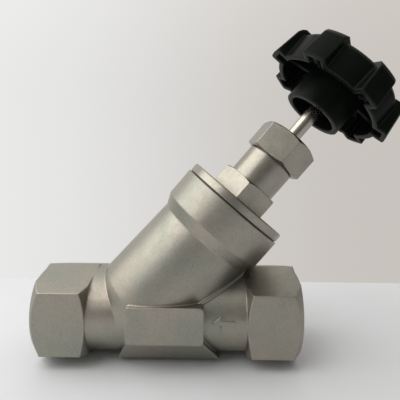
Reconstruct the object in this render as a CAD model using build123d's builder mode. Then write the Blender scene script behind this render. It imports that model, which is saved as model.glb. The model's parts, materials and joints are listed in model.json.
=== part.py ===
"""Manual angle seat valve, one inch, female threaded ends, Y pattern.

Millimetres, +Z up, +X along the pipe from the outlet to the inlet. The origin is on the pipe
axis where the outlet's full thread starts. All turned parts of the branch share the stem axis.
"""
import os
from math import cos, radians, sin, sqrt

from build123d import *

os.makedirs("parts", exist_ok=True)

# ---------------------------------------------------------------- driving dimensions
HEX_AF = 41.0            # across the flats of both pipe ends
FACE_HALF = HEX_AF / 2 / sqrt(3)   # half height of the front and back faces
RIDGE = 17.1             # height of the slightly flattened upper and lower ridges
HEX_CORNER_R = HEX_AF / sqrt(3)
RUN_LENGTH = 100.0       # face to face
END_FACE_R = 18.9        # outer radius of the flat end face
END_CHAMFER = 3.9        # length of the turned outer chamfer at the corners
SHOULDER_X = 29.4        # where the hexagon meets the neck
SHOULDER_CHAMFER = 1.9
NECK_WIDE = 20.0         # half width of the neck, front to back
NECK_HIGH = 16.4         # half height of the neck
NECK_DROP = 0.0

PORT_THREAD_R = 15.15    # G1 minor radius
PORT_DEPTH = 17.0
PORT_LEAD = 1.6
MID_X = RUN_LENGTH / 2 - PORT_LEAD   # middle of the run
BORE_R = 12.5

STEM_ANGLE = 50.0        # between the stem and the pipe
CROSS_X = -10.5          # stem axis crossing, from the middle of the run
LIFT = 12.0              # travel of the plug

# stations along the stem axis, from the pipe axis outwards
BELLY_S = 4.0
CHAMBER_R = 17.0
BELLY_R = CHAMBER_R + 5.4
BRANCH_TOP_S = 38.5
BRANCH_TOP_R = CHAMBER_R + 3.6
BOSS_LOW_S = 43.0
BOSS_TOP_S = 54.7
BOSS_R = CHAMBER_R + 5.6
SEAT_S = 2.0
SEAT_R = 11.0
SEAT_RING_R = 14.0
SEAT_RING_H = 3.0
SEAT_PROUD = 0.8         # the seat ring stands proud of its pocket
SEAT_LIP = 0.6
PARTITION = 3.2

GASKET_T = 0.6
FLANGE_TOP_S = 58.5
FLANGE_R = 22.1
SPIGOT_S = 40.0
SPIGOT_R = CHAMBER_R - 0.05
BONNET_HEX_AF = 23.0
BONNET_HEX_TURN = 19.0   # rotation of the hexagon about the stem
BONNET_HEX_TOP_S = 66.4
NECK_TUBE_R = 9.95
GLAND_THREAD_S = 78.0
GLAND_THREAD_R = 9.2
BONNET_TOP_S = 86.0
STUFFING_S = 70.0
STUFFING_R = 6.6
PACK_H = 3.4             # height of one vee ring
PACK_VEE = 0.9
PACK_PITCH = 2.6

GLAND_NUT_AF = 22.0
GLAND_NUT_TURN = 38.0
GLAND_NUT_LOW_S = 78.4
GLAND_NUT_TOP_S = 89.9

STEM_R = 2.9
RUN_FIT = 0.05           # radial clearance of the stem in bush, packing and gland
STEM_THREAD_R = 5.5
THREAD_LOW_S = 37.0
THREAD_TOP_S = 62.0
BUSH_LOW_S = 41.0
BUSH_TOP_S = 52.0
BUSH_R = 8.6
CAVITY_R = 6.2

SEAL_T = 3.0
PLUG_LOW_S = SEAT_S + SEAT_PROUD + LIFT + SEAL_T + 0.05
PLUG_TOP_S = 36.0
PLUG_R = CHAMBER_R - 1.8
PLUG_NECK_R = 10.0
RETAINER_R = 7.0
SEAL_R = SEAT_RING_R
STUD_R = 3.2
PLUG_NUT_AF = 10.0
PLUG_NUT_H = 3.2
SEAL_WASHER_T = 1.6
SEAL_WASHER_R = 9.0

SKIRT_R = 23.2
LOBE_PROUD = 4.0
WHEEL_R = SKIRT_R + LOBE_PROUD
LOBE_DEPTH = 10.0
LOBE_LEAN = 1.7
WHEEL_LOW_S = 110.2
WHEEL_TOP_S = 122.2
LOBE_TOP_S = 122.8
COLLAR_LOW_S = 102.6
COLLAR_R = 12.0
COLLAR_HOLE_R = 9.8
LOBES = 7
LOBE_ANGLE = -74.0
LOBE_WIDTH = 9.2
WALL = 1.8

# ---------------------------------------------------------------- planes and axes
ALPHA = radians(STEM_ANGLE)
UP = Vector(cos(ALPHA), 0, sin(ALPHA))
ACROSS = Vector(sin(ALPHA), 0, -cos(ALPHA))
CROSS = Vector(MID_X + CROSS_X, 0, 0)
STEM_AXIS = Axis(CROSS, UP)
PIPE_AXIS = Axis((MID_X, 0, 0), (1, 0, 0))
STEM_PLANE = Plane(origin=CROSS, x_dir=ACROSS, z_dir=UP)
PROFILE = Plane(origin=CROSS, x_dir=ACROSS, z_dir=(0, -1, 0))
PIPE_PROFILE = Plane(origin=(MID_X, 0, 0), x_dir=(1, 0, 0), z_dir=(0, -1, 0))
PIPE_SECTION = Plane(origin=(MID_X, 0, 0), x_dir=(0, 1, 0), z_dir=(1, 0, 0))


def finish(piece, label):
    """Name the finished piece and write its file."""
    piece.part.label = label
    export_step(piece.part, "parts/" + label + ".step")


def turned(points, plane=PROFILE, axis=STEM_AXIS):
    """A turned solid from (radius, station) points on the stem axis."""
    with BuildPart() as piece:
        with BuildSketch(plane):
            with BuildLine():
                Polyline(*points, close=True)
            make_face()
        revolve(axis=axis)
    return piece


def ring(inner, outer, low, high, chamfer_by=0.0):
    """A plain turned ring with optional chamfered outer edges."""
    c = chamfer_by
    points = [(inner, low), (outer - c, low), (outer, low + c), (outer, high - c),
              (outer - c, high), (inner, high)]
    if c == 0:
        points = [(inner, low), (outer, low), (outer, high), (inner, high)]
    return turned(points)


def hexagon_bar(flats, low, high, turn, rotation, cone=0.5, low_cone=0.5):
    """A hexagon along the stem axis, its corners turned off by cones at both ends."""
    corner = flats / sqrt(3)
    drop = (corner - turn) * cone
    low_drop = (corner - turn) * low_cone
    with BuildPart() as piece:
        with BuildSketch(STEM_PLANE.offset(low)):
            RegularPolygon(flats / 2, 6, major_radius=False, rotation=rotation)
        extrude(amount=high - low)
        with BuildSketch(PROFILE):
            with BuildLine():
                Polyline((0, low), (turn, low), (corner, low + low_drop), (corner, high - drop),
                         (turn, high), (0, high), close=True)
            make_face()
        revolve(axis=STEM_AXIS, mode=Mode.INTERSECT)
    return piece


# ---------------------------------------------------------------- valve body
def pipe_end(side):
    """One hexagonal pipe end, chamfered by turned cones at both of its ends."""
    end = side * RUN_LENGTH / 2
    with BuildPart() as piece:
        with BuildSketch(PIPE_SECTION.offset(side * SHOULDER_X)):
            with BuildLine():
                Polyline((-HEX_AF / 2, FACE_HALF), (0, RIDGE), (HEX_AF / 2, FACE_HALF),
                         (HEX_AF / 2, -FACE_HALF), (0, -RIDGE), (-HEX_AF / 2, -FACE_HALF),
                         close=True)
            make_face()
        extrude(amount=side * (RUN_LENGTH / 2 - SHOULDER_X))
        with BuildSketch(PIPE_PROFILE):
            with BuildLine():
                Polyline((side * SHOULDER_X, 0), (side * SHOULDER_X, HEX_AF / 2 - 0.4),
                         (side * (SHOULDER_X + SHOULDER_CHAMFER), HEX_CORNER_R),
                         (end - side * END_CHAMFER, HEX_CORNER_R),
                         (end, END_FACE_R), (end, 0), close=True)
            make_face()
        revolve(axis=PIPE_AXIS, mode=Mode.INTERSECT)
    return piece


left_end = pipe_end(-1)
right_end = pipe_end(1)

# the casting's branch: a rounded belly, a slightly tapered barrel, then the wider boss
with BuildPart() as branch:
    with BuildSketch(PROFILE):
        with BuildLine():
            Polyline((0, BELLY_S - BELLY_R), (0, BOSS_TOP_S), (BOSS_R, BOSS_TOP_S),
                     (BOSS_R, BOSS_LOW_S), (BRANCH_TOP_R, BRANCH_TOP_S), (BELLY_R, BELLY_S))
            CenterArc((0, BELLY_S), BELLY_R, -90, 90)
        make_face()
    revolve(axis=STEM_AXIS)

# space below the seat: the outlet side of the partition
with BuildPart() as below_seat:
    with BuildSketch(PIPE_SECTION.offset(-RUN_LENGTH / 2)):
        Circle(BORE_R)
    extrude(amount=RUN_LENGTH)
    with BuildSketch(PROFILE):
        with BuildLine():
            Polyline((0, SEAT_S - PARTITION), (60, SEAT_S - PARTITION), (60, -90), (0, -90),
                     close=True)
        make_face()
    revolve(axis=STEM_AXIS, mode=Mode.INTERSECT)

# space above the seat: the inlet bore and the chamber that the plug rises in
with BuildPart() as above_seat:
    with BuildSketch(PIPE_SECTION.offset(-RUN_LENGTH / 2)):
        Circle(BORE_R)
    extrude(amount=RUN_LENGTH)
    with BuildSketch(PROFILE):
        with BuildLine():
            Polyline((0, SEAT_S), (70, SEAT_S), (70, 90), (0, 90), close=True)
        make_face()
    revolve(axis=STEM_AXIS, mode=Mode.INTERSECT)

PLATE_W, PLATE_H = 27.7, 13.6
PLATE_X, PLATE_Z = -0.4, 1.3
PLATE_Y = 23.3
FOOT_TOP = PLATE_Z - PLATE_H / 2

# foot under the name plates: its faces slope back and widen towards the bottom
with BuildPart() as foot:
    with BuildSketch(Plane(origin=(MID_X + PLATE_X - 20, 0, 0), x_dir=(0, 1, 0),
                           z_dir=(1, 0, 0))):
        with BuildLine():
            Polyline((PLATE_Y - 0.7, FOOT_TOP + 0.4), (15.0, -14.6), (9.0, -RIDGE), (-9.0, -RIDGE),
                     (-15.0, -14.6), (-PLATE_Y + 0.7, FOOT_TOP + 0.4), (0, 2), close=True)
        make_face()
    extrude(amount=40)
    with BuildSketch(Plane(origin=(MID_X + PLATE_X, -30, 0), x_dir=(1, 0, 0),
                           z_dir=(0, -1, 0))):
        with BuildLine():
            Polyline((-PLATE_W / 2, 3), (-PLATE_W / 2, FOOT_TOP), (-18.3, -14.6), (-18.3, -19),
                     (20.0, -19), (20.0, -14.6), (PLATE_W / 2, FOOT_TOP), (PLATE_W / 2, 3),
                     close=True)
        make_face()
    extrude(amount=-60, mode=Mode.INTERSECT)

with BuildPart() as valve_body:
    # the oval neck ends just inside the hexagons
    with BuildSketch(PIPE_SECTION.offset(-SHOULDER_X - SHOULDER_CHAMFER - 1)):
        with Locations((0, -NECK_DROP)):
            Ellipse(NECK_WIDE, NECK_HIGH)
    extrude(amount=2 * (SHOULDER_X + SHOULDER_CHAMFER + 1))
    add(branch.part)
    add(foot.part)
    # underside made flat at the level of the lower ridges
    with BuildSketch(Plane.XY.offset(-RIDGE - 10)):
        with Locations((MID_X, 0)):
            Rectangle(RUN_LENGTH, 3 * NECK_WIDE)
    extrude(amount=10, mode=Mode.SUBTRACT)
    # name plates, front and back, left bare
    for face in (-1, 1):
        with BuildSketch(Plane(origin=(MID_X + PLATE_X, face * PLATE_Y, PLATE_Z),
                               x_dir=(1, 0, 0), z_dir=(0, -1, 0))):
            RectangleRounded(PLATE_W, PLATE_H, 1.3)
        extrude(amount=face * 8)
    add(left_end.part)
    add(right_end.part)
    # waterways
    add(below_seat.part, mode=Mode.SUBTRACT)
    add(above_seat.part, mode=Mode.SUBTRACT)
    with BuildSketch(STEM_PLANE.offset(SEAT_S)):
        Circle(CHAMBER_R)
    extrude(amount=BOSS_TOP_S - SEAT_S, mode=Mode.SUBTRACT)
    with BuildSketch(STEM_PLANE.offset(SEAT_S - PARTITION - 6)):
        Circle(SEAT_R)
    extrude(amount=PARTITION + 8, mode=Mode.SUBTRACT)
    with BuildSketch(STEM_PLANE.offset(SEAT_S - SEAT_RING_H + SEAT_PROUD)):
        Circle(SEAT_RING_R)
    extrude(amount=SEAT_RING_H, mode=Mode.SUBTRACT)
    # threaded ports with a lead-in chamfer
    for side in (-1, 1):
        with BuildSketch(PIPE_PROFILE):
            with BuildLine():
                Polyline((side * (RUN_LENGTH / 2 - PORT_DEPTH), 0),
                         (side * (RUN_LENGTH / 2 - PORT_DEPTH), PORT_THREAD_R),
                         (side * (RUN_LENGTH / 2 - PORT_LEAD), PORT_THREAD_R),
                         (side * RUN_LENGTH / 2, PORT_THREAD_R + PORT_LEAD),
                         (side * RUN_LENGTH / 2, 0), close=True)
            make_face()
        revolve(axis=PIPE_AXIS, mode=Mode.SUBTRACT)
finish(valve_body, "valve_body")

seat_ring = ring(SEAT_R - SEAT_LIP, SEAT_RING_R - 0.02, SEAT_S - SEAT_RING_H + SEAT_PROUD,
                 SEAT_S + SEAT_PROUD, 0.4)
finish(seat_ring, "seat_ring")

# ---------------------------------------------------------------- bonnet
bonnet_gasket = ring(CHAMBER_R + 0.4, BOSS_R - 0.9, BOSS_TOP_S, BOSS_TOP_S + GASKET_T)
finish(bonnet_gasket, "bonnet_gasket")

FLANGE_LOW_S = BOSS_TOP_S + GASKET_T
bonnet_hex = hexagon_bar(BONNET_HEX_AF, FLANGE_TOP_S - 0.5, BONNET_HEX_TOP_S,
                         BONNET_HEX_AF / 2 + 0.2, BONNET_HEX_TURN, 0.55, 0.0)
with BuildPart() as bonnet:
    with BuildSketch(PROFILE):
        with BuildLine():
            Polyline((STEM_R + 2 * RUN_FIT, STUFFING_S), (STUFFING_R, STUFFING_S),
                     (STUFFING_R, BONNET_TOP_S), (GLAND_THREAD_R - 0.6, BONNET_TOP_S),
                     (GLAND_THREAD_R, BONNET_TOP_S - 0.6), (GLAND_THREAD_R, GLAND_THREAD_S),
                     (NECK_TUBE_R, GLAND_THREAD_S), (NECK_TUBE_R, FLANGE_TOP_S),
                     (FLANGE_R - 0.5, FLANGE_TOP_S), (FLANGE_R, FLANGE_TOP_S - 0.5),
                     (FLANGE_R, FLANGE_LOW_S), (SPIGOT_R, FLANGE_LOW_S),
                     (SPIGOT_R, SPIGOT_S + 1), (SPIGOT_R - 1, SPIGOT_S),
                     (BUSH_R, SPIGOT_S), (BUSH_R, BUSH_TOP_S), (CAVITY_R, BUSH_TOP_S),
                     (CAVITY_R, STUFFING_S - 4), (STEM_R + 2 * RUN_FIT, STUFFING_S - 4),
                     close=True)
        make_face()
    revolve(axis=STEM_AXIS)
    add(bonnet_hex.part)
    with BuildSketch(STEM_PLANE.offset(FLANGE_TOP_S - 1)):
        Circle(CAVITY_R)
    extrude(amount=STUFFING_S - 4 - FLANGE_TOP_S + 1, mode=Mode.SUBTRACT)
    with BuildSketch(STEM_PLANE.offset(FLANGE_TOP_S - 1)):
        Circle(STEM_R + 2 * RUN_FIT)
    extrude(amount=20, mode=Mode.SUBTRACT)
finish(bonnet, "bonnet")

stem_bush = ring(STEM_THREAD_R + RUN_FIT, BUSH_R - 0.02, BUSH_LOW_S, BUSH_TOP_S, 0.4)
finish(stem_bush, "stem_bush")
bush_circlip = ring(BUSH_R - 1.6, BUSH_R - 0.05, BUSH_LOW_S - 1.0, BUSH_LOW_S)
finish(bush_circlip, "bush_circlip")

# ---------------------------------------------------------------- stem seal and gland
RING_BORE = STEM_R + RUN_FIT
packing_washer = ring(RING_BORE, STUFFING_R - 0.05, STUFFING_S, STUFFING_S + 1)
finish(packing_washer, "packing_washer")


def packing(low, high, label):
    """One vee packing ring, hollow below and peaked above."""
    middle = (RING_BORE + STUFFING_R) / 2
    piece = turned([(RING_BORE, low), (middle, low + PACK_VEE), (STUFFING_R - 0.02, low),
                    (STUFFING_R - 0.02, high - PACK_VEE), (middle, high),
                    (RING_BORE, high - PACK_VEE)])
    finish(piece, label)


PACK_LOW_S = STUFFING_S + 1.0
packing(PACK_LOW_S, PACK_LOW_S + PACK_H, "packing_ring_lower")
packing(PACK_LOW_S + PACK_PITCH, PACK_LOW_S + PACK_PITCH + PACK_H, "packing_ring_middle")
packing(PACK_LOW_S + 2 * PACK_PITCH, PACK_LOW_S + 2 * PACK_PITCH + PACK_H, "packing_ring_upper")
FOLLOWER_LOW = PACK_LOW_S + 2 * PACK_PITCH + PACK_H + 0.1
gland_follower = turned([(RING_BORE, FOLLOWER_LOW), (STUFFING_R - 0.05, FOLLOWER_LOW),
                         (STUFFING_R - 0.05, BONNET_TOP_S + 0.1), (RING_BORE, BONNET_TOP_S + 0.1)])
finish(gland_follower, "gland_follower")

gland_hex = hexagon_bar(GLAND_NUT_AF, GLAND_NUT_LOW_S, GLAND_NUT_TOP_S,
                        GLAND_NUT_AF / 2 - 0.4, GLAND_NUT_TURN, 0.6, 0.35)
WIPER_S = GLAND_NUT_TOP_S - 2.0
with BuildPart() as gland_nut:
    add(gland_hex.part)
    with BuildSketch(PROFILE):
        with BuildLine():
            Polyline((0, GLAND_NUT_LOW_S), (GLAND_THREAD_R + 0.6, GLAND_NUT_LOW_S),
                     (GLAND_THREAD_R + 0.02, GLAND_NUT_LOW_S + 0.6),
                     (GLAND_THREAD_R + 0.02, BONNET_TOP_S + 0.1), (STEM_R + 0.6, BONNET_TOP_S + 0.1),
                     (STEM_R + 0.6, WIPER_S), (5.0, WIPER_S), (5.0, GLAND_NUT_TOP_S),
                     (0, GLAND_NUT_TOP_S), close=True)
        make_face()
    revolve(axis=STEM_AXIS, mode=Mode.SUBTRACT)
finish(gland_nut, "gland_nut")
stem_wiper = turned([(RING_BORE, WIPER_S), (4.98, WIPER_S), (4.98, GLAND_NUT_TOP_S - 0.2),
                     (4.2, GLAND_NUT_TOP_S + 0.1), (RING_BORE, GLAND_NUT_TOP_S - 0.3)])
finish(stem_wiper, "stem_wiper")

# ---------------------------------------------------------------- stem
HEAD_LOW_S = 26.0
HEAD_TOP_S = 30.0
HEAD_R = 5.0
SHANK_R = 3.5
WHEEL_SEAT_S = 109.5
STEM_END_S = WHEEL_TOP_S - 0.3
SEAT_SHANK_R = 2.5
stem = turned([(0, HEAD_LOW_S), (HEAD_R - 0.8, HEAD_LOW_S), (HEAD_R, HEAD_LOW_S + 0.8),
               (HEAD_R, HEAD_TOP_S), (SHANK_R, HEAD_TOP_S), (SHANK_R, THREAD_LOW_S),
               (STEM_THREAD_R - 0.8, THREAD_LOW_S), (STEM_THREAD_R, THREAD_LOW_S + 0.8),
               (STEM_THREAD_R, THREAD_TOP_S - 0.8), (STEM_THREAD_R - 0.8, THREAD_TOP_S),
               (STEM_R, THREAD_TOP_S), (STEM_R, WHEEL_SEAT_S), (SEAT_SHANK_R, WHEEL_SEAT_S),
               (SEAT_SHANK_R, STEM_END_S - 0.5), (SEAT_SHANK_R - 0.5, STEM_END_S),
               (0, STEM_END_S)])
finish(stem, "stem")

# ---------------------------------------------------------------- plug, shown fully open
SOCKET_R = HEAD_R + 0.06
SEAL_LOW_S = PLUG_LOW_S - SEAL_T
WASHER_LOW_S = SEAL_LOW_S - SEAL_WASHER_T
STUD_END_S = WASHER_LOW_S - PLUG_NUT_H - 0.4
with BuildPart() as plug:
    with BuildSketch(PROFILE):
        with BuildLine():
            Polyline((0, STUD_END_S), (STUD_R - 0.4, STUD_END_S), (STUD_R, STUD_END_S + 0.4),
                     (STUD_R, PLUG_LOW_S), (PLUG_R - 0.8, PLUG_LOW_S), (PLUG_R, PLUG_LOW_S + 0.8),
                     (PLUG_R, PLUG_LOW_S + 5.0), (PLUG_NECK_R, PLUG_LOW_S + 8.0),
                     (PLUG_NECK_R, PLUG_TOP_S), (RETAINER_R, PLUG_TOP_S),
                     (RETAINER_R, HEAD_TOP_S + 0.3),
                     (SOCKET_R, HEAD_TOP_S + 0.3), (SOCKET_R, HEAD_LOW_S - 0.1),
                     (0, HEAD_LOW_S - 0.1), close=True)
        make_face()
    revolve(axis=STEM_AXIS)
finish(plug, "plug")
plug_retainer = ring(SHANK_R + 0.06, RETAINER_R - 0.02, HEAD_TOP_S + 0.3, PLUG_TOP_S - 0.4, 0.3)
finish(plug_retainer, "plug_retainer")
guide_ring = ring(PLUG_R + 0.02, CHAMBER_R - 0.1, PLUG_LOW_S + 1.2, PLUG_LOW_S + 4.6, 0.3)
finish(guide_ring, "guide_ring")
plug_seal = ring(STUD_R + 0.02, SEAL_R, SEAL_LOW_S, PLUG_LOW_S, 0.3)
finish(plug_seal, "plug_seal")
seal_washer = ring(STUD_R + 0.02, SEAL_WASHER_R, WASHER_LOW_S, SEAL_LOW_S, 0.3)
finish(seal_washer, "seal_washer")
nut_bar = hexagon_bar(PLUG_NUT_AF, WASHER_LOW_S - PLUG_NUT_H, WASHER_LOW_S, PLUG_NUT_AF / 2, 0)
with BuildPart() as plug_nut:
    add(nut_bar.part)
    with BuildSketch(STEM_PLANE.offset(WASHER_LOW_S - PLUG_NUT_H - 1)):
        Circle(STUD_R + 0.02)
    extrude(amount=PLUG_NUT_H + 2, mode=Mode.SUBTRACT)
finish(plug_nut, "plug_nut")

# ---------------------------------------------------------------- handwheel
INSERT_R = 5.0
INSERT_LOW_S = WHEEL_SEAT_S
RECESS_DEPTH = 5.4
INSERT_TOP_S = WHEEL_TOP_S - RECESS_DEPTH
HUB_R = 7.0
HUB_DROP = 3.4
HUB_LOW_S = WHEEL_LOW_S - HUB_DROP
WEB_DEPTH = 6.4
WEB_LOW_S = WHEEL_TOP_S - WEB_DEPTH   # inside the collar
TOP_T = 2.3                      # thickness of the wheel's top
TOP_EDGE = 3.0
UNDER_S = WHEEL_TOP_S - TOP_T
RIB_OUT = SKIRT_R - WALL - 0.3
RIB_T = 1.6
RIB_RISE = 5.5
RECESS_R = 7.6
NUT_AF = 9.0
NUT_H = 3.2
WASHER_T = 1.0

# grip lobes: drafted blocks round the skirt, their tops rolled over
with BuildPart() as lobes:
    with BuildSketch(STEM_PLANE.offset(WHEEL_LOW_S)):
        with PolarLocations(WHEEL_R - LOBE_DEPTH / 2, LOBES, start_angle=LOBE_ANGLE):
            RectangleRounded(LOBE_DEPTH, LOBE_WIDTH, 1.4)
    extrude(amount=LOBE_TOP_S - WHEEL_LOW_S, taper=3)
    with BuildSketch(PROFILE):
        with BuildLine():
            Polyline((0, WHEEL_LOW_S), (WHEEL_R, WHEEL_LOW_S),
                     (WHEEL_R - LOBE_LEAN, LOBE_TOP_S - 2.2),
                     (WHEEL_R - LOBE_LEAN - 0.8, LOBE_TOP_S - 0.9),
                     (WHEEL_R - LOBE_LEAN - 2.0, LOBE_TOP_S), (0, LOBE_TOP_S), close=True)
        make_face()
    revolve(axis=STEM_AXIS, mode=Mode.INTERSECT)

# pockets inside the lobes, open below
POCKET_TOP_S = LOBE_TOP_S - TOP_T
with BuildPart() as pockets:
    with BuildSketch(STEM_PLANE.offset(WHEEL_LOW_S - 1)):
        with PolarLocations(WHEEL_R - LOBE_DEPTH / 2, LOBES, start_angle=LOBE_ANGLE):
            RectangleRounded(LOBE_DEPTH, LOBE_WIDTH - 2 * WALL, 0.8)
    extrude(amount=POCKET_TOP_S - WHEEL_LOW_S + 1, taper=2)
    with BuildSketch(PROFILE):
        with BuildLine():
            Polyline((0, WHEEL_LOW_S - 1), (WHEEL_R - WALL, WHEEL_LOW_S - 1),
                     (WHEEL_R - WALL, WHEEL_LOW_S), (WHEEL_R - WALL - LOBE_LEAN, POCKET_TOP_S - 1),
                     (WHEEL_R - WALL - LOBE_LEAN - 1, POCKET_TOP_S), (0, POCKET_TOP_S), close=True)
        make_face()
    revolve(axis=STEM_AXIS, mode=Mode.INTERSECT)

with BuildPart() as handwheel:
    # skirt and top
    with BuildSketch(PROFILE):
        with BuildLine():
            Polyline((0, WHEEL_LOW_S), (SKIRT_R, WHEEL_LOW_S), (SKIRT_R - 0.3, WHEEL_TOP_S - 1.9),
                     (SKIRT_R - 1.2, WHEEL_TOP_S - 0.7), (SKIRT_R - TOP_EDGE, WHEEL_TOP_S),
                     (0, WHEEL_TOP_S), close=True)
        make_face()
    revolve(axis=STEM_AXIS)
    add(lobes.part)
    with BuildSketch(PROFILE):
        with BuildLine():
            Polyline((0, WHEEL_LOW_S - 1), (SKIRT_R - WALL, WHEEL_LOW_S - 1),
                     (SKIRT_R - WALL, WHEEL_LOW_S), (SKIRT_R - WALL - 0.5, UNDER_S - 2),
                     (SKIRT_R - WALL - TOP_EDGE, UNDER_S), (0, UNDER_S), close=True)
        make_face()
    revolve(axis=STEM_AXIS, mode=Mode.SUBTRACT)
    add(pockets.part, mode=Mode.SUBTRACT)
    # ribs between the collar and the skirt
    with BuildSketch(STEM_PLANE.offset(WHEEL_LOW_S + RIB_RISE)):
        with PolarLocations((COLLAR_R + RIB_OUT) / 2, LOBES, start_angle=LOBE_ANGLE + 180 / LOBES):
            Rectangle(RIB_OUT - COLLAR_R + 1, RIB_T)
    extrude(amount=UNDER_S + 0.5 - WHEEL_LOW_S - RIB_RISE)
    # hub with its hanging collar
    with BuildSketch(PROFILE):
        with BuildLine():
            Polyline((0, HUB_LOW_S), (HUB_R, HUB_LOW_S), (HUB_R, WEB_LOW_S),
                     (COLLAR_HOLE_R, WEB_LOW_S), (COLLAR_HOLE_R, COLLAR_LOW_S),
                     (COLLAR_R, COLLAR_LOW_S), (COLLAR_R, WHEEL_TOP_S - 1), (0, WHEEL_TOP_S - 1),
                     close=True)
        make_face()
    revolve(axis=STEM_AXIS)
    # bore of the hub, seat of the insert and the recess for the nut
    with BuildSketch(PROFILE):
        with BuildLine():
            Polyline((0, COLLAR_LOW_S), (STEM_R + 0.3, COLLAR_LOW_S),
                     (STEM_R + 0.3, INSERT_LOW_S), (INSERT_R, INSERT_LOW_S),
                     (INSERT_R, INSERT_TOP_S), (RECESS_R, INSERT_TOP_S),
                     (RECESS_R, WHEEL_TOP_S), (0, WHEEL_TOP_S), close=True)
        make_face()
    revolve(axis=STEM_AXIS, mode=Mode.SUBTRACT)
finish(handwheel, "handwheel")

hub_insert = ring(SEAT_SHANK_R + 0.01, INSERT_R - 0.01, INSERT_LOW_S, INSERT_TOP_S, 0.2)
finish(hub_insert, "hub_insert")
wheel_washer = ring(SEAT_SHANK_R + 0.2, RECESS_R - 1.2, INSERT_TOP_S, INSERT_TOP_S + WASHER_T)
finish(wheel_washer, "wheel_washer")
wheel_nut_bar = hexagon_bar(NUT_AF, INSERT_TOP_S + WASHER_T, INSERT_TOP_S + WASHER_T + NUT_H,
                            NUT_AF / 2 - 0.1, 11.5, 0.5, 0.2)
with BuildPart() as wheel_nut:
    add(wheel_nut_bar.part)
    with BuildSketch(STEM_PLANE.offset(INSERT_TOP_S)):
        Circle(SEAT_SHANK_R + 0.01)
    extrude(amount=NUT_H + 3, mode=Mode.SUBTRACT)
finish(wheel_nut, "wheel_nut")
wheel_cap = turned([(RECESS_R - 1.2, WHEEL_TOP_S - 2.6), (RECESS_R - 0.02, WHEEL_TOP_S - 2.6),
                    (RECESS_R - 0.02, WHEEL_TOP_S), (RECESS_R + 2.8, WHEEL_TOP_S),
                    (RECESS_R + 2.2, WHEEL_TOP_S + 0.8), (RECESS_R - 1.6, WHEEL_TOP_S + 1.8),
                    (0, WHEEL_TOP_S + 2.2), (0, WHEEL_TOP_S + 0.6), (RECESS_R - 1.2, WHEEL_TOP_S + 0.2)])
finish(wheel_cap, "wheel_cap")
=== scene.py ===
import json
from math import cos, pi, radians, sin, sqrt

import bmesh
import bpy
from mathutils import Matrix, Vector


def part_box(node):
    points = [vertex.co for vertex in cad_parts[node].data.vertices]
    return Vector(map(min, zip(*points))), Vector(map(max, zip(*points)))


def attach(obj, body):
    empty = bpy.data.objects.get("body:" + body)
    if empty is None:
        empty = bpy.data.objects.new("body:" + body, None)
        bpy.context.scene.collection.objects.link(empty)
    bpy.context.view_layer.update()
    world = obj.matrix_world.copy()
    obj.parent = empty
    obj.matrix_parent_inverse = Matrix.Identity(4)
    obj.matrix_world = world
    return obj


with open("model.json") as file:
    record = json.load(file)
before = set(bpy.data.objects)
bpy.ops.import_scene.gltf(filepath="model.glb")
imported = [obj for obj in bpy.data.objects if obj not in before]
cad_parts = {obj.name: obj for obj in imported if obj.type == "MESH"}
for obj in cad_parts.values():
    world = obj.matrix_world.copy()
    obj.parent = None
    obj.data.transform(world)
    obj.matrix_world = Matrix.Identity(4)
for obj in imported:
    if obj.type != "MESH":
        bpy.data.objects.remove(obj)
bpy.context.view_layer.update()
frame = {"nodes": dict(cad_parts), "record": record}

MM = 0.001
MID = 48.4 * MM                    # middle of the run on the pipe axis
ALPHA = radians(50.0)              # stem to pipe
UP = Vector((cos(ALPHA), 0, sin(ALPHA)))
ACROSS = Vector((sin(ALPHA), 0, -cos(ALPHA)))
CROSS = Vector((MID - 10.5 * MM, 0, 0))   # where the stem's axis crosses the pipe's
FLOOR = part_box("valve_body")[0].z
nodes = frame["nodes"]
scene = bpy.context.scene


# ---------------------------------------------------------------- materials
def new(name):
    m = bpy.data.materials.new(name)
    m.use_nodes = True
    nt = m.node_tree
    return m, nt, nt.nodes["Principled BSDF"]


def add(nt, kind, **sockets):
    n = nt.nodes.new(kind)
    for key, value in sockets.items():
        name = key.replace("_", " ")
        if name in n.inputs and not isinstance(value, bpy.types.NodeSocket):
            n.inputs[name].default_value = value
        elif name in n.inputs:
            nt.links.new(value, n.inputs[name])
        else:
            setattr(n, key, value)
    return n


def where(nt):
    return add(nt, "ShaderNodeTexCoord").outputs["Object"]


def noise(nt, scale, detail=3.0, rough=0.5, vector=None):
    n = add(nt, "ShaderNodeTexNoise", Scale=scale, Detail=detail, Roughness=rough)
    nt.links.new(vector or where(nt), n.inputs["Vector"])
    return n.outputs["Fac"]


def remap(nt, value, low, high, from_low=0.3, from_high=0.7):
    n = nt.nodes.new("ShaderNodeMapRange")
    nt.links.new(value, n.inputs["Value"])
    n.inputs["From Min"].default_value = from_low
    n.inputs["From Max"].default_value = from_high
    n.inputs["To Min"].default_value = low
    n.inputs["To Max"].default_value = high
    return n.outputs["Result"]


def mix(nt, fac, a, b):
    n = nt.nodes.new("ShaderNodeMix")
    n.data_type = "RGBA"
    nt.links.new(fac, n.inputs["Factor"])
    n.inputs["A"].default_value = (*a, 1)
    n.inputs["B"].default_value = (*b, 1)
    return n.outputs["Result"]


def bump(nt, height, distance, strength=1.0, normal=None):
    n = nt.nodes.new("ShaderNodeBump")
    nt.links.new(height, n.inputs["Height"])
    n.inputs["Distance"].default_value = distance
    n.inputs["Strength"].default_value = strength
    if normal:
        nt.links.new(normal, n.inputs["Normal"])
    return n.outputs["Normal"]


def bevel(nt, radius, samples=6):
    n = nt.nodes.new("ShaderNodeBevel")
    n.samples = samples
    n.inputs["Radius"].default_value = radius
    return n.outputs["Normal"]


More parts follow.
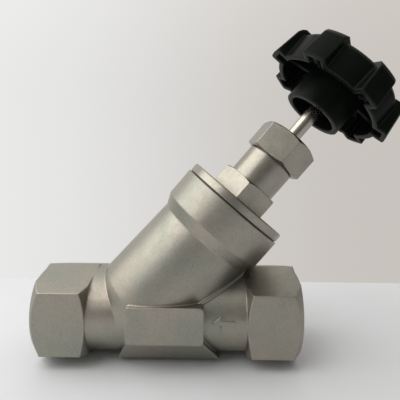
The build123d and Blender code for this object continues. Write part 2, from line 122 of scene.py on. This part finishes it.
def along(nt, axis):
    """Distance along an axis, for turned and drawn marks."""
    n = nt.nodes.new("ShaderNodeVectorMath")
    n.operation = "DOT_PRODUCT"
    nt.links.new(where(nt), n.inputs[0])
    n.inputs[1].default_value = axis
    c = nt.nodes.new("ShaderNodeCombineXYZ")
    nt.links.new(n.outputs["Value"], c.inputs["X"])
    return c.outputs["Vector"]


def math(nt, op, a, b):
    n = nt.nodes.new("ShaderNodeMath")
    n.operation = op
    for k, v in enumerate((a, b)):
        if isinstance(v, bpy.types.NodeSocket):
            nt.links.new(v, n.inputs[k])
        else:
            n.inputs[k].default_value = v
    return n.outputs["Value"]


def blend_to(nt, fac, a, b):
    """Mix a colour socket towards a fixed colour."""
    n = nt.nodes.new("ShaderNodeMix")
    n.data_type = "RGBA"
    nt.links.new(fac, n.inputs["Factor"])
    nt.links.new(a, n.inputs["A"])
    n.inputs["B"].default_value = (*b, 1)
    return n.outputs["Result"]


def edges(nt, rounded):
    """How far the rounded normal turns from the face: 1 along the edges."""
    n = nt.nodes.new("ShaderNodeVectorMath")
    n.operation = "DOT_PRODUCT"
    nt.links.new(rounded, n.inputs[0])
    nt.links.new(nt.nodes.new("ShaderNodeNewGeometry").outputs["Normal"], n.inputs[1])
    return remap(nt, n.outputs["Value"], 1.0, 0.0, 0.90, 0.995)


def pits(nt, scale, size):
    """Scattered small pits: 1 inside a pit."""
    n = nt.nodes.new("ShaderNodeTexVoronoi")
    n.inputs["Scale"].default_value = scale
    nt.links.new(where(nt), n.inputs["Vector"])
    return remap(nt, n.outputs["Distance"], 1.0, 0.0, size * 0.5, size)


def metal(name, cool, warm, rough, grain, depth, edge, marks=0.0, patch=55.0, pitted=0.0):
    """Steel or brass: patches of tint, fine grain, turning marks, and a painted highlight that makes
    the edges brighter.
    """
    m, nt, p = new(name)
    patchy = noise(nt, patch, 3.0, 0.55)
    smudge = noise(nt, patch * 6, 4.0, 0.6)
    fine = noise(nt, grain, 2.0, 0.7)
    rounded = bevel(nt, edge)
    painted_edge_highlight = edges(nt, rounded)
    p.inputs["Metallic"].default_value = 1.0
    colour = mix(nt, remap(nt, patchy, 0, 1), cool, warm)
    colour = blend_to(nt, remap(nt, fine, 0.0, 0.30, 0.45, 0.75), colour,
                      tuple(0.45 * v for v in cool))
    # painted highlight: the colour turns paler and warmer along the rounded edges, where they catch
    # the light
    colour = blend_to(nt, math(nt, "MULTIPLY", painted_edge_highlight, 0.45), colour,
                      tuple(min(1, 1.35 * v) for v in warm))
    height = fine
    if pitted:
        spots = pits(nt, 420.0, 0.09)
        colour = blend_to(nt, math(nt, "MULTIPLY", spots, 0.5), colour,
                          tuple(0.3 * v for v in cool))
        height = math(nt, "SUBTRACT", fine, math(nt, "MULTIPLY", spots, pitted))
    nt.links.new(colour, p.inputs["Base Color"])
    nt.links.new(remap(nt, smudge, rough - 0.05, rough + 0.06), p.inputs["Roughness"])
    normal = rounded
    if marks:
        lines = noise(nt, 4200.0, 2.0, 0.7, along(nt, UP))
        normal = bump(nt, lines, marks, 1.0, normal)
    normal = bump(nt, height, depth, 1.0, normal)
    nt.links.new(normal, p.inputs["Normal"])
    return m


def dielectric(name, dark, light, rough, grain, depth, edge, gloss=0.5, painted_edge_highlight_tone=None):
    """Moulded plastic, PTFE or rubber with a fine grain, and a painted highlight that makes the edges
    slightly paler.
    """
    m, nt, p = new(name)
    cloudy = noise(nt, 150.0, 4.0, 0.6)
    fine = noise(nt, grain, 2.0, 0.6)
    rounded = bevel(nt, edge)
    colour = mix(nt, remap(nt, cloudy, 0, 1), dark, light)
    # painted highlight: paler colour along the rounded edges, where they catch the light
    if painted_edge_highlight_tone:
        colour = blend_to(nt, math(nt, "MULTIPLY", edges(nt, rounded), 0.6), colour, painted_edge_highlight_tone)
    nt.links.new(colour, p.inputs["Base Color"])
    p.inputs["Specular IOR Level"].default_value = gloss
    nt.links.new(remap(nt, cloudy, rough - 0.05, rough + 0.06), p.inputs["Roughness"])
    nt.links.new(bump(nt, fine, depth, 1.0, rounded), p.inputs["Normal"])
    return m


CAST = metal("cast_steel", (0.305, 0.315, 0.270), (0.385, 0.345, 0.295), 0.42, 1700, 0.00005, 0.0008,
             pitted=0.5)
TURNED = metal("turned_steel", (0.295, 0.278, 0.238), (0.365, 0.34, 0.29), 0.34, 1900, 0.00001,
               0.0004, marks=0.000012, patch=120.0)
POLISHED = metal("polished_steel", (0.40, 0.375, 0.33), (0.48, 0.45, 0.40), 0.25, 3000, 0.000003,
                 0.0002, marks=0.000004, patch=120.0)
SPRING = metal("spring_steel", (0.20, 0.19, 0.18), (0.28, 0.27, 0.26), 0.35, 2500, 0.00001, 0.0002)
BRASS = metal("brass", (0.52, 0.36, 0.14), (0.64, 0.47, 0.21), 0.25, 2500, 0.00001, 0.0002,
              marks=0.00001)
BLACK = dielectric("black_plastic", (0.0035, 0.005, 0.004), (0.006, 0.008, 0.006), 0.36, 1600,
                   0.00002, 0.0011, 0.06, (0.034, 0.040, 0.034))
PTFE = dielectric("ptfe", (0.70, 0.70, 0.66), (0.82, 0.82, 0.79), 0.45, 1500, 0.00001, 0.0003)
RUBBER = dielectric("rubber", (0.012, 0.012, 0.012), (0.022, 0.022, 0.022), 0.6, 1600, 0.00002,
                    0.0003)
GRAPHITE = dielectric("graphite", (0.018, 0.018, 0.018), (0.035, 0.035, 0.034), 0.5, 1800, 0.00001,
                      0.0002)
FINISH = {"cast_steel": CAST, "turned_steel": TURNED, "polished_steel": POLISHED,
          "spring_steel": SPRING, "brass": BRASS, "black_plastic": BLACK, "ptfe": PTFE,
          "rubber": RUBBER, "graphite": GRAPHITE}
for part in frame["record"]["subparts"]:
    o = nodes[part["node"]]
    o.data.materials.clear()
    o.data.materials.append(FINISH[part["material_slot"]])

# ---------------------------------------------------------------- details on the casting
NECK_WIDE, NECK_HIGH = 20.0 * MM, 16.4 * MM
BELLY_R, BELLY_S, BRANCH_R, BRANCH_S = 22.4 * MM, 4 * MM, 20.6 * MM, 38.5 * MM
PORT_R, PITCH = 15.15 * MM, 2.309 * MM
THREAD_START, THREAD_LENGTH, THREAD_RISE = 33.9 * MM, 13.6 * MM, 0.7 * MM   # from the run's middle
THREAD_STEPS, THREAD_FADE = 48, 30                                          # sections per turn
BEAD_START, BEAD_LENGTH, BEAD_RINGS = 5.0 * MM, 26.0 * MM, 24
ARROW_PROUD = 0.4 * MM


def solid(name, points, faces, slot, body="valve", smooth=False):
    mesh = bpy.data.meshes.new(name)
    bm = bmesh.new()
    verts = [bm.verts.new(v) for v in points]
    for f in faces:
        bm.faces.new([verts[k] for k in f])
    bmesh.ops.recalc_face_normals(bm, faces=bm.faces)
    bm.to_mesh(mesh)
    bm.free()
    for f in mesh.polygons:
        f.use_smooth = smooth
    o = bpy.data.objects.new(name, mesh)
    scene.collection.objects.link(o)
    mesh.materials.append(FINISH[slot])
    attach(o, body)
    return o


def rings_to_tube(rings):
    """Faces of a tube through rings of equal count, closed at both ends."""
    n = len(rings[0])
    points = [p for ring in rings for p in ring]
    faces = [(k * n + j, k * n + (j + 1) % n, (k + 1) * n + (j + 1) % n, (k + 1) * n + j)
             for k in range(len(rings) - 1) for j in range(n)]
    return points, faces + [tuple(range(n)), tuple(range(len(points) - n, len(points)))]


# pipe threads in both ports: a ridge that winds inward from the smooth bore
for side, name in ((-1, "outlet_thread"), (1, "inlet_thread")):
    rings = []
    last = THREAD_LENGTH / PITCH * THREAD_STEPS
    for k in range(int(last) + 1):
        a = 2 * pi * k / THREAD_STEPS
        x = MID + side * THREAD_START + side * PITCH * k / THREAD_STEPS
        crest = PORT_R - THREAD_RISE * min(1.0, k / THREAD_FADE, (last - k) / THREAD_FADE)
        rings.append([Vector((x + dx * MM, r * cos(a), r * sin(a)))
                      for dx, r in ((-0.8, PORT_R + 0.06 * MM), (-0.15, crest),
                                    (0.15, crest), (0.8, PORT_R + 0.06 * MM))])
    solid(name, *rings_to_tube(rings), "turned_steel")


def neck_point(x, t, face):
    """Point on the oval neck, t from the horizontal."""
    return Vector((x, face * NECK_WIDE * cos(t), NECK_HIGH * sin(t)))


def outside_branch(v):
    """Distance of a point from the skin of the branch, positive outside."""
    d = v - CROSS
    rise = d.dot(UP)
    r = BELLY_R + (BRANCH_R - BELLY_R) * (rise - BELLY_S) / (BRANCH_S - BELLY_S)
    return (d - UP * rise).length - r


# cast bead that fills the crease between the branch and the inlet neck
for face, name in ((-1, "crease_front"), (1, "crease_back")):
    rings = []
    for k in range(BEAD_RINGS + 1):
        x = MID + BEAD_START + BEAD_LENGTH * k / BEAD_RINGS
        low, high = 0.0, pi / 2       # the crease lies where the neck meets the branch
        for _ in range(30):
            half = (low + high) / 2
            if outside_branch(neck_point(x, half, face)) > 0:
                low = half
            else:
                high = half
        wide = (0.9 + 1.1 * k / BEAD_RINGS) * MM
        tall = 1.0 * MM * min(1.0, 0.25 + k / 6, 0.25 + (BEAD_RINGS - k) / 5)
        n_out = Vector((0, face * cos(low) / NECK_WIDE, sin(low) / NECK_HIGH)).normalized()
        tan = Vector((0, -face * sin(low), cos(low)))
        centre = neck_point(x, low, face)
        rings.append([centre + tan * wide * cos(a) + n_out * (tall * sin(a) + 0.1 * MM)
                      for a in (2 * pi * j / 12 for j in range(12))])
    solid(name, *rings_to_tube(rings), "cast_steel", smooth=True)

# raised flow arrow on the inlet neck, pointing to the outlet
outline = ((16.4, 1.4), (19.8, 3.9), (19.8, 2.1), (24.8, 2.1), (24.8, 0.7), (19.8, 0.7), (19.8, -1.1))
outer, inner = [], []
for x, z in outline:
    y = -NECK_WIDE * sqrt(1 - (z * MM / NECK_HIGH) ** 2)
    outer.append(Vector((MID + x * MM, y - ARROW_PROUD, z * MM)))
    inner.append(Vector((MID + x * MM, y + ARROW_PROUD, z * MM)))
n = len(outline)
solid("flow_arrow", outer + inner,
      [tuple(range(n)), tuple(range(n, 2 * n))]
      + [(k, (k + 1) % n, n + (k + 1) % n, n + k) for k in range(n)], "cast_steel")

# ---------------------------------------------------------------- stage
m, nt, p = new("table_top")
nt.links.new(mix(nt, remap(nt, noise(nt, 14.0, 3.0), 0, 1), (0.74, 0.76, 0.78), (0.77, 0.79, 0.81)),
             p.inputs["Base Color"])
p.inputs["Roughness"].default_value = 0.5
mesh = bpy.data.meshes.new("table")
bm = bmesh.new()
for x, y in ((-0.5, -0.6), (0.6, -0.6), (0.6, 0.085), (-0.5, 0.085)):
    bm.verts.new((x, y, FLOOR))
bm.faces.new(bm.verts)
bm.to_mesh(mesh)
floor = bpy.data.objects.new("table", mesh)
scene.collection.objects.link(floor)
mesh.materials.append(m)

# ---------------------------------------------------------------- world and lights
world = bpy.data.worlds.new("studio")
scene.world = world
world.use_nodes = True
wt = world.node_tree
wt.nodes.clear()
out = wt.nodes.new("ShaderNodeOutputWorld")
sep = wt.nodes.new("ShaderNodeSeparateXYZ")
wt.links.new(wt.nodes.new("ShaderNodeTexCoord").outputs["Generated"], sep.inputs["Vector"])


def lobe(axis, low, high, amount):
    n = wt.nodes.new("ShaderNodeMapRange")
    n.interpolation_type = "SMOOTHSTEP"
    wt.links.new(sep.outputs[axis], n.inputs["Value"])
    n.inputs["From Min"].default_value = low
    n.inputs["From Max"].default_value = high
    n.inputs["To Min"].default_value = 0.0
    n.inputs["To Max"].default_value = amount
    return n.outputs["Result"]


def plus(a, b):
    n = wt.nodes.new("ShaderNodeMath")
    n.operation = "ADD"
    for k, v in enumerate((a, b)):
        if isinstance(v, float):
            n.inputs[k].default_value = v
        else:
            wt.links.new(v, n.inputs[k])
    return n.outputs["Value"]


# a pale wall behind, brighter on the left and warmer on the right, and a dim room in front
level = plus(0.14, lobe("Y", 0.05, 0.75, 0.44))
level = plus(level, lobe("X", 0.45, -0.75, 0.27))
level = plus(level, lobe("Z", 0.15, 0.85, 0.16))
back = wt.nodes.new("ShaderNodeBackground")
tone = wt.nodes.new("ShaderNodeMix")
tone.data_type = "RGBA"
wt.links.new(lobe("X", 0.45, -0.35, 1.0), tone.inputs["Factor"])
tone.inputs["A"].default_value = (1.0, 0.945, 0.885, 1)
tone.inputs["B"].default_value = (1.0, 0.995, 0.985, 1)
wt.links.new(tone.outputs["Result"], back.inputs["Color"])
wt.links.new(level, back.inputs["Strength"])
wt.links.new(back.outputs["Background"], out.inputs["Surface"])


def area(name, pos, target, size, power, tone=(1, 1, 1)):
    light = bpy.data.lights.new(name, "AREA")
    light.shape = "RECTANGLE"
    light.size, light.size_y = size
    light.energy = power
    light.color = tone
    o = bpy.data.objects.new(name, light)
    scene.collection.objects.link(o)
    o.location = pos
    o.rotation_euler = (Vector(target) - Vector(pos)).to_track_quat("-Z", "Y").to_euler()
    o.visible_camera = False


area("window", (-0.50, -0.17, 0.60), (0.05, 0, 0.03), (1.0, 0.8), 5.6, (1.0, 0.98, 0.95))
area("ceiling", (0.15, 0.10, 0.7), (0.05, 0, 0.03), (0.9, 0.8), 1.1)

# ---------------------------------------------------------------- camera
CAM = Vector((12.4 * MM + MID, -141.5 * MM, 56.85 * MM))
PAN, TILT, ROLL, FOCAL = radians(-0.32), radians(5.14), radians(-0.66), 350.5
fwd = Vector((sin(PAN) * cos(TILT), cos(PAN) * cos(TILT), -sin(TILT)))
right = Vector((cos(PAN), -sin(PAN), 0))
down = fwd.cross(right)
right, down = cos(ROLL) * right + sin(ROLL) * down, cos(ROLL) * down - sin(ROLL) * right
data = bpy.data.cameras.new("camera")
data.sensor_width = 36.0
data.lens = 36.0 * FOCAL / 400
data.clip_start = 0.01
camera = bpy.data.objects.new("camera", data)
scene.collection.objects.link(camera)
camera.matrix_world = Matrix((
    (right.x, -down.x, -fwd.x, CAM.x), (right.y, -down.y, -fwd.y, CAM.y),
    (right.z, -down.z, -fwd.z, CAM.z), (0, 0, 0, 1)))
scene.camera = camera
scene.view_settings.view_transform = "Standard"
